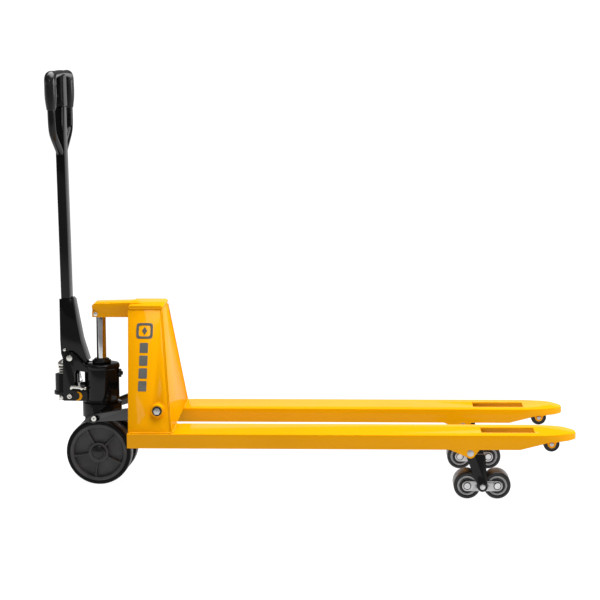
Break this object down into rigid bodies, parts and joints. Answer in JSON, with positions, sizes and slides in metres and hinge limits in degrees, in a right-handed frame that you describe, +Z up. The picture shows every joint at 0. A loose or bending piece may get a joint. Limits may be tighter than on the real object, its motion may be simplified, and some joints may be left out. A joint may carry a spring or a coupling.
{
  "type": "pallet jack",
  "caption": "Hand pallet jack: two channel forks on tandem load rollers, raked frame, hydraulic pump unit with steering wheels and a looped pump handle.",
  "frame": {"origin": "centre of the bounding box in plan, on the floor, with the forks raised", "axes": "+X towards the fork tips, +Y towards the left fork, seen from behind the handle, +Z up"},
  "size_m": [1.5784, 0.55, 1.258],
  "materials": {
    "black_paint": "gloss enamel",
    "black_plastic": "gloss",
    "chrome": "polished",
    "grip_rubber": "matte",
    "nylon_core": "matte",
    "nylon_tread": "satin",
    "orange_paint": "gloss enamel",
    "roller_nylon": "satin",
    "spring_steel": "plain",
    "steel": "turned",
    "zinc": "zinc plated"
  },
  "bodies": {
    "chassis": {"fork_right": "orange_paint", "fork_left": "orange_paint", "front_plate": "orange_paint", "side_plate_right": "orange_paint", "side_plate_left": "orange_paint", "frame_head": "orange_paint", "head_screw": "zinc", "shaft_bosses": "orange_paint", "shaft_bolts": "steel", "bracket_pins": "steel", "entry_pins": "steel", "piston_rod": "chrome"},
    "entry_roller_right": {"entry_roller_right": "roller_nylon"},
    "entry_roller_left": {"entry_roller_left": "roller_nylon"},
    "collar": {"bearing_collar": "black_paint", "thrust_bearing": "steel"},
    "pump_unit": {"pump_body": "black_paint", "gland_nut": "black_paint", "filler_plug": "black_paint", "pump_barrel": "black_paint", "valve_block": "black_paint", "cheek_right": "black_paint", "cheek_left": "black_paint", "valve_plugs": "zinc", "release_cam": "orange_paint", "handle_pin": "zinc", "steering_axle": "steel", "pump_spring": "spring_steel"},
    "wheel_right": {"wheel_core_right": "nylon_core", "tyre_right": "nylon_tread", "hub_caps_right": "nylon_core"},
    "wheel_left": {"wheel_core_left": "nylon_core", "tyre_left": "nylon_tread", "hub_caps_left": "nylon_core"},
    "plunger": {"plunger": "zinc"},
    "release_lever": {"release_lever": "zinc"},
    "release_chain": {"release_chain": "steel"},
    "handle": {"handle_base": "black_paint", "base_bolts": "zinc", "handle_stem": "black_paint", "handle_loop": "black_paint", "grips": "grip_rubber", "head_housing": "black_plastic", "press_pin": "steel"},
    "control_lever": {"control_lever": "black_plastic"},
    "press_roller": {"press_roller": "steel"},
    "rocker": {"rocker_arms": "black_paint", "torsion_tube": "black_paint"},
    "push_rod_right": {"push_rod_right": "black_paint"},
    "push_rod_left": {"push_rod_left": "black_paint"},
    "roller_bracket_right": {"roller_bracket_right": "black_paint"},
    "roller_bracket_left": {"roller_bracket_left": "black_paint"},
    "bogie_pins_right": {"bogie_pins_right": "steel"},
    "bogie_pins_left": {"bogie_pins_left": "steel"},
    "bogie_right": {"bogie_right": "steel"},
    "bogie_left": {"bogie_left": "steel"},
    "roller_front_right": {"roller_front_right": "roller_nylon"},
    "roller_rear_right": {"roller_rear_right": "roller_nylon"},
    "roller_front_left": {"roller_front_left": "roller_nylon"},
    "roller_rear_left": {"roller_rear_left": "roller_nylon"}
  },
  "joints": [
    {"name": "lift", "type": "slide", "parent": "chassis", "child": "collar", "axis": [0, 0, 1], "range_m": [0, 0.115]},
    {"name": "steer", "type": "hinge", "parent": "collar", "child": "pump_unit", "pos_m": [-0.64033, 0, 0.25], "axis": [0, 0, 1], "range_deg": [-87, 93]},
    {"name": "wheel_right_spin", "type": "hinge", "parent": "pump_unit", "child": "wheel_right", "pos_m": [-0.64307, -0.05243, 0.1], "axis": [0.0523, 0.9986, 0], "continuous": true},
    {"name": "wheel_left_spin", "type": "hinge", "parent": "pump_unit", "child": "wheel_left", "pos_m": [-0.63758, 0.05243, 0.1], "axis": [0.0523, 0.9986, 0], "continuous": true},
    {"name": "handle_tilt", "type": "hinge", "parent": "pump_unit", "child": "handle", "pos_m": [-0.7322, 0.00481, 0.385], "axis": [0.0523, 0.9986, 0], "range_deg": [-75, 0], "stiffness_Nm_per_rad": 34, "springref_deg": 14.32},
    {"name": "pump_stroke", "type": "slide", "parent": "pump_unit", "child": "plunger", "axis": [0, 0, 1], "range_m": [-0.0224, 0], "deforming": ["pump_spring"]},
    {"name": "control", "type": "hinge", "parent": "handle", "child": "control_lever", "pos_m": [-0.75438, 0.00598, 1.18192], "axis": [0.0523, 0.9986, 0], "range_deg": [-12, 12], "stiffness_Nm_per_rad": 0.8},
    {"name": "release", "type": "hinge", "parent": "pump_unit", "child": "release_lever", "pos_m": [-0.72846, -0.03844, 0.295], "axis": [0.0523, 0.9986, 0], "range_deg": [-3.1, 3.1]},
    {"name": "chain_pull", "type": "slide", "parent": "pump_unit", "child": "release_chain", "axis": [0, 0, 1], "range_m": [-0.0014, 0.0014]},
    {"name": "press_roller_spin", "type": "hinge", "parent": "handle", "child": "press_roller", "pos_m": [-0.75017, 0.00576, 0.3862], "axis": [0.0523, 0.9986, 0], "continuous": true},
    {"name": "rocker_turn", "type": "hinge", "parent": "chassis", "child": "rocker", "pos_m": [-0.44493, 0, 0.2632], "axis": [0, 1, 0], "range_deg": [0, 31.2]},
    {"name": "entry_roller_right_spin", "type": "hinge", "parent": "chassis", "child": "entry_roller_right", "pos_m": [0.71767, -0.195, 0.165], "axis": [0, 1, 0], "continuous": true},
    {"name": "push_rod_right_turn", "type": "hinge", "parent": "rocker", "child": "push_rod_right", "pos_m": [-0.42319, -0.195, 0.18455], "axis": [0, 1, 0], "range_deg": [-31.2, 0]},
    {"name": "bracket_right_turn", "type": "hinge", "parent": "chassis", "child": "roller_bracket_right", "pos_m": [0.47637, -0.195, 0.147], "axis": [0, 1, 0], "range_deg": [-74.6, 0]},
    {"name": "bogie_right_level", "type": "hinge", "parent": "roller_bracket_right", "child": "bogie_pins_right", "pos_m": [0.51469, -0.195, 0.04], "axis": [0, 1, 0], "range_deg": [0, 74.6]},
    {"name": "bogie_right_rock", "type": "hinge", "parent": "bogie_pins_right", "child": "bogie_right", "pos_m": [0.51469, -0.195, 0.04], "axis": [0, 1, 0], "range_deg": [-8, 8]},
    {"name": "roller_front_right_spin", "type": "hinge", "parent": "bogie_right", "child": "roller_front_right", "pos_m": [0.55919, -0.195, 0.04], "axis": [0, 1, 0], "continuous": true},
    {"name": "roller_rear_right_spin", "type": "hinge", "parent": "bogie_right", "child": "roller_rear_right", "pos_m": [0.47019, -0.195, 0.04], "axis": [0, 1, 0], "continuous": true},
    {"name": "entry_roller_left_spin", "type": "hinge", "parent": "chassis", "child": "entry_roller_left", "pos_m": [0.71767, 0.195, 0.165], "axis": [0, 1, 0], "continuous": true},
    {"name": "push_rod_left_turn", "type": "hinge", "parent": "rocker", "child": "push_rod_left", "pos_m": [-0.42319, 0.195, 0.18455], "axis": [0, 1, 0], "range_deg": [-31.2, 0]},
    {"name": "bracket_left_turn", "type": "hinge", "parent": "chassis", "child": "roller_bracket_left", "pos_m": [0.47637, 0.195, 0.147], "axis": [0, 1, 0], "range_deg": [-74.6, 0]},
    {"name": "bogie_left_level", "type": "hinge", "parent": "roller_bracket_left", "child": "bogie_pins_left", "pos_m": [0.51469, 0.195, 0.04], "axis": [0, 1, 0], "range_deg": [0, 74.6]},
    {"name": "bogie_left_rock", "type": "hinge", "parent": "bogie_pins_left", "child": "bogie_left", "pos_m": [0.51469, 0.195, 0.04], "axis": [0, 1, 0], "range_deg": [-8, 8]},
    {"name": "roller_front_left_spin", "type": "hinge", "parent": "bogie_left", "child": "roller_front_left", "pos_m": [0.55919, 0.195, 0.04], "axis": [0, 1, 0], "continuous": true},
    {"name": "roller_rear_left_spin", "type": "hinge", "parent": "bogie_left", "child": "roller_rear_left", "pos_m": [0.47019, 0.195, 0.04], "axis": [0, 1, 0], "continuous": true}
  ],
  "couplings": [
    {"joint": "pump_stroke", "follows": "handle_tilt", "m_per_rad": 0.017},
    {"joint": "release", "follows": "control", "ratio": 0.25},
    {"joint": "chain_pull", "follows": "control", "m_per_rad": -0.006},
    {"joint": "rocker_turn", "follows": "lift", "rad_per_m": 4.708},
    {"joint": "push_rod_right_turn", "follows": "lift", "rad_per_m": -4.708},
    {"joint": "bracket_right_turn", "follows": "lift", "rad_per_m": -11.276},
    {"joint": "bogie_right_level", "follows": "lift", "rad_per_m": 11.276},
    {"joint": "push_rod_left_turn", "follows": "lift", "rad_per_m": -4.708},
    {"joint": "bracket_left_turn", "follows": "lift", "rad_per_m": -11.276},
    {"joint": "bogie_left_level", "follows": "lift", "rad_per_m": 11.276}
  ]
}
